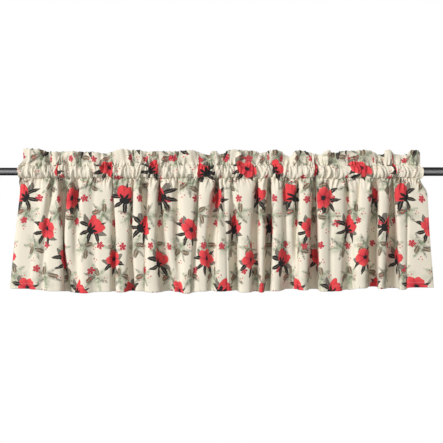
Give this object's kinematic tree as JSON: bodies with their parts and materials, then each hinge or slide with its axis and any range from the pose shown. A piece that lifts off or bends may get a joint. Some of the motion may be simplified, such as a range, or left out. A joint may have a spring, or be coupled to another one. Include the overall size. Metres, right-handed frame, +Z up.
{
  "type": "window valance on curtain rod",
  "caption": "Gathered window valance with a ruffled heading and a rod pocket, hanging in uneven folds from a plain extending metal rod.",
  "frame": {"origin": "middle of the rod, on its axis", "axes": "+X along the rod, to the right seen from the room; -Y towards the room, so the front of the valance faces -Y; +Z up"},
  "size_m": [1.5, 0.059, 0.464],
  "materials": {
    "printed_cloth": "matt plain-weave cotton and polyester cloth, cream, with a printed floral pattern in red, near-black, grey and sage green",
    "rod_metal": "satin dark grey paint on steel tube"
  },
  "bodies": {
    "root": {"valance": "printed_cloth", "rod_inner": "rod_metal", "rod_outer": "rod_metal"}
  },
  "joints": []
}
